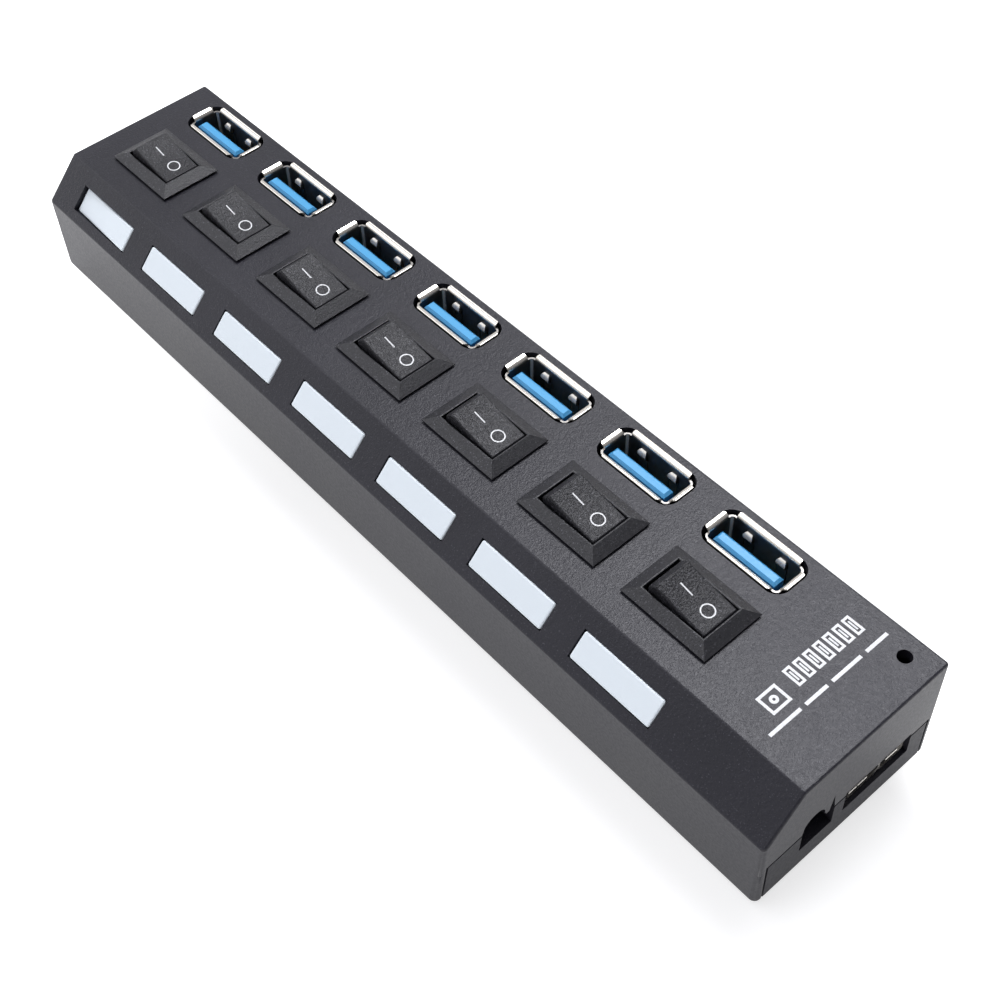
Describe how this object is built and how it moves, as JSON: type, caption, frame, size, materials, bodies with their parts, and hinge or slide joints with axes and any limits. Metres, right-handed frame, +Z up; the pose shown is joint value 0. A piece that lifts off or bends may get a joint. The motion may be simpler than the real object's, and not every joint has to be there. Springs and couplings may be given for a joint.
{
  "type": "usb hub",
  "caption": "Long powered data hub: upright sockets in a row, a rocker switch and a lit window for each, power and upstream sockets in one end.",
  "frame": {"origin": "middle of the footprint, on the surface that the feet stand on", "axes": "+X towards the end with the power and upstream sockets, +Y towards the row of upright sockets, +Z up"},
  "size_m": [0.1622, 0.0332, 0.0245],
  "materials": {
    "case_plastic": "fine moulded grain",
    "switch_plastic": "satin, very fine grain",
    "rocker_plastic": "satin with fine sparkle grain",
    "plunger_plastic": "smooth",
    "window_plastic": "satin white diffuser",
    "port_plastic": "smooth blue",
    "shell_steel": "bright nickel plate",
    "contact_metal": "plated",
    "terminal_metal": "tinned",
    "jack_plastic": "smooth black",
    "board_laminate": "solder mask",
    "chip_resin": "moulded",
    "lamp_resin": "clear resin",
    "can_metal": "drawn can",
    "screw_steel": "blackened",
    "foot_rubber": "matt"
  },
  "bodies": {
    "hub_case": {"top_cover": "case_plastic", "base": "case_plastic", "light_strip": "window_plastic", "circuit_board": "board_laminate", "port_contacts": "contact_metal", "switch_terminals": "terminal_metal", "status_leds": "lamp_resin", "dc_jack_body": "jack_plastic", "dc_jack_pin": "terminal_metal", "dc_jack_spring": "terminal_metal", "upstream_shell": "shell_steel", "upstream_tongue": "jack_plastic", "upstream_contacts": "contact_metal", "hub_chips": "chip_resin", "crystal": "can_metal", "capacitors": "can_metal", "case_screws": "screw_steel", "rubber_feet": "foot_rubber", "port_shell_1": "shell_steel", "port_tongue_1": "port_plastic", "switch_body_1": "switch_plastic", "port_shell_2": "shell_steel", "port_tongue_2": "port_plastic", "switch_body_2": "switch_plastic", "port_shell_3": "shell_steel", "port_tongue_3": "port_plastic", "switch_body_3": "switch_plastic", "port_shell_4": "shell_steel", "port_tongue_4": "port_plastic", "switch_body_4": "switch_plastic", "port_shell_5": "shell_steel", "port_tongue_5": "port_plastic", "switch_body_5": "switch_plastic", "port_shell_6": "shell_steel", "port_tongue_6": "port_plastic", "switch_body_6": "switch_plastic", "port_shell_7": "shell_steel", "port_tongue_7": "port_plastic", "switch_body_7": "switch_plastic"},
    "rocker_1": {"switch_rocker_1": "rocker_plastic", "switch_plunger_1": "plunger_plastic"},
    "lever_1": {"switch_lever_1": "contact_metal"},
    "rocker_2": {"switch_rocker_2": "rocker_plastic", "switch_plunger_2": "plunger_plastic"},
    "lever_2": {"switch_lever_2": "contact_metal"},
    "rocker_3": {"switch_rocker_3": "rocker_plastic", "switch_plunger_3": "plunger_plastic"},
    "lever_3": {"switch_lever_3": "contact_metal"},
    "rocker_4": {"switch_rocker_4": "rocker_plastic", "switch_plunger_4": "plunger_plastic"},
    "lever_4": {"switch_lever_4": "contact_metal"},
    "rocker_5": {"switch_rocker_5": "rocker_plastic", "switch_plunger_5": "plunger_plastic"},
    "lever_5": {"switch_lever_5": "contact_metal"},
    "rocker_6": {"switch_rocker_6": "rocker_plastic", "switch_plunger_6": "plunger_plastic"},
    "lever_6": {"switch_lever_6": "contact_metal"},
    "rocker_7": {"switch_rocker_7": "rocker_plastic", "switch_plunger_7": "plunger_plastic"},
    "lever_7": {"switch_lever_7": "contact_metal"}
  },
  "joints": [
    {"name": "rocker_1_tilt", "type": "hinge", "parent": "hub_case", "child": "rocker_1", "pos_m": [-0.0673, -0.00066, 0.01945], "axis": [0, -1, 0], "range_deg": [0, 23]},
    {"name": "lever_1_tilt", "type": "hinge", "parent": "hub_case", "child": "lever_1", "pos_m": [-0.0673, -0.00066, 0.0143], "axis": [0, -1, 0], "range_deg": [-13.8, 0]},
    {"name": "rocker_2_tilt", "type": "hinge", "parent": "hub_case", "child": "rocker_2", "pos_m": [-0.0473, -0.00066, 0.01945], "axis": [0, -1, 0], "range_deg": [0, 23]},
    {"name": "lever_2_tilt", "type": "hinge", "parent": "hub_case", "child": "lever_2", "pos_m": [-0.0473, -0.00066, 0.0143], "axis": [0, -1, 0], "range_deg": [-13.8, 0]},
    {"name": "rocker_3_tilt", "type": "hinge", "parent": "hub_case", "child": "rocker_3", "pos_m": [-0.0273, -0.00066, 0.01945], "axis": [0, -1, 0], "range_deg": [0, 23]},
    {"name": "lever_3_tilt", "type": "hinge", "parent": "hub_case", "child": "lever_3", "pos_m": [-0.0273, -0.00066, 0.0143], "axis": [0, -1, 0], "range_deg": [-13.8, 0]},
    {"name": "rocker_4_tilt", "type": "hinge", "parent": "hub_case", "child": "rocker_4", "pos_m": [-0.0073, -0.00066, 0.01945], "axis": [0, -1, 0], "range_deg": [0, 23]},
    {"name": "lever_4_tilt", "type": "hinge", "parent": "hub_case", "child": "lever_4", "pos_m": [-0.0073, -0.00066, 0.0143], "axis": [0, -1, 0], "range_deg": [-13.8, 0]},
    {"name": "rocker_5_tilt", "type": "hinge", "parent": "hub_case", "child": "rocker_5", "pos_m": [0.0127, -0.00066, 0.01945], "axis": [0, -1, 0], "range_deg": [0, 23]},
    {"name": "lever_5_tilt", "type": "hinge", "parent": "hub_case", "child": "lever_5", "pos_m": [0.0127, -0.00066, 0.0143], "axis": [0, -1, 0], "range_deg": [-13.8, 0]},
    {"name": "rocker_6_tilt", "type": "hinge", "parent": "hub_case", "child": "rocker_6", "pos_m": [0.0327, -0.00066, 0.01945], "axis": [0, -1, 0], "range_deg": [0, 23]},
    {"name": "lever_6_tilt", "type": "hinge", "parent": "hub_case", "child": "lever_6", "pos_m": [0.0327, -0.00066, 0.0143], "axis": [0, -1, 0], "range_deg": [-13.8, 0]},
    {"name": "rocker_7_tilt", "type": "hinge", "parent": "hub_case", "child": "rocker_7", "pos_m": [0.0527, -0.00066, 0.01945], "axis": [0, -1, 0], "range_deg": [0, 23]},
    {"name": "lever_7_tilt", "type": "hinge", "parent": "hub_case", "child": "lever_7", "pos_m": [0.0527, -0.00066, 0.0143], "axis": [0, -1, 0], "range_deg": [-13.8, 0]}
  ],
  "couplings": [
    {"joint": "lever_1_tilt", "follows": "rocker_1_tilt", "ratio": -0.6},
    {"joint": "lever_2_tilt", "follows": "rocker_2_tilt", "ratio": -0.6},
    {"joint": "lever_3_tilt", "follows": "rocker_3_tilt", "ratio": -0.6},
    {"joint": "lever_4_tilt", "follows": "rocker_4_tilt", "ratio": -0.6},
    {"joint": "lever_5_tilt", "follows": "rocker_5_tilt", "ratio": -0.6},
    {"joint": "lever_6_tilt", "follows": "rocker_6_tilt", "ratio": -0.6},
    {"joint": "lever_7_tilt", "follows": "rocker_7_tilt", "ratio": -0.6}
  ]
}
